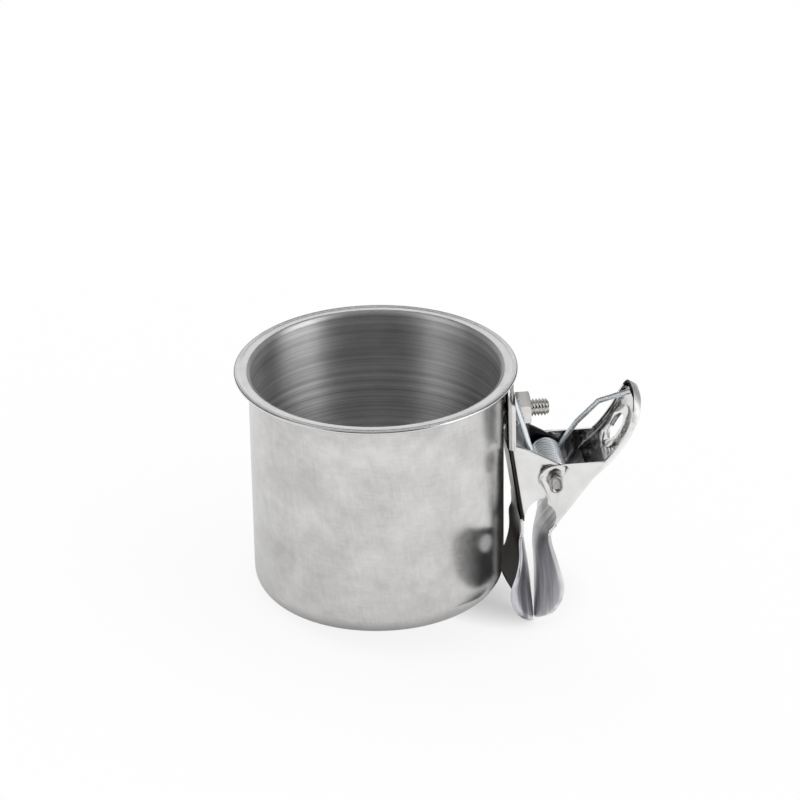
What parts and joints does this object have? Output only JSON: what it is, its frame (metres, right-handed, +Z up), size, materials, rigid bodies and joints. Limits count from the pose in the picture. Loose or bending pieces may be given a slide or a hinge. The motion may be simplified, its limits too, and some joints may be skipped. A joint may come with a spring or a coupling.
{
  "type": "seed cup",
  "caption": "Round drawn steel cup with a rolled lip, bolted to a sprung two-lever clip whose ridged jaws grip a cage bar beside the cup.",
  "frame": {"origin": "centre of the cup's flat underside", "axes": "+Z up through the cup's mouth, +X from the cup out through the clip, Y along the clip's hinge pin"},
  "size_m": [0.0887, 0.0618, 0.0652],
  "materials": {
    "cup_steel": "satin",
    "lever_steel": "polished nickel plate",
    "pin_steel": "pressed, satin",
    "spring_zinc": "bright zinc plate",
    "fastener_steel": "stainless, turned"
  },
  "bodies": {
    "frame": {"cup": "cup_steel", "mounting_screw": "fastener_steel", "lock_washer": "fastener_steel", "hex_nut": "fastener_steel", "fixed_lever": "lever_steel", "pivot_pin": "pin_steel", "torsion_spring": "spring_zinc"},
    "lever": {"moving_lever": "lever_steel"}
  },
  "joints": [
    {"name": "clip_hinge", "type": "hinge", "parent": "frame", "child": "lever", "pos_m": [0.0379, 0, 0.026], "axis": [0, -1, 0], "range_deg": [0, 50], "stiffness_Nm_per_rad": 0.15, "springref_deg": -57.3, "deforming": ["torsion_spring"]}
  ]
}
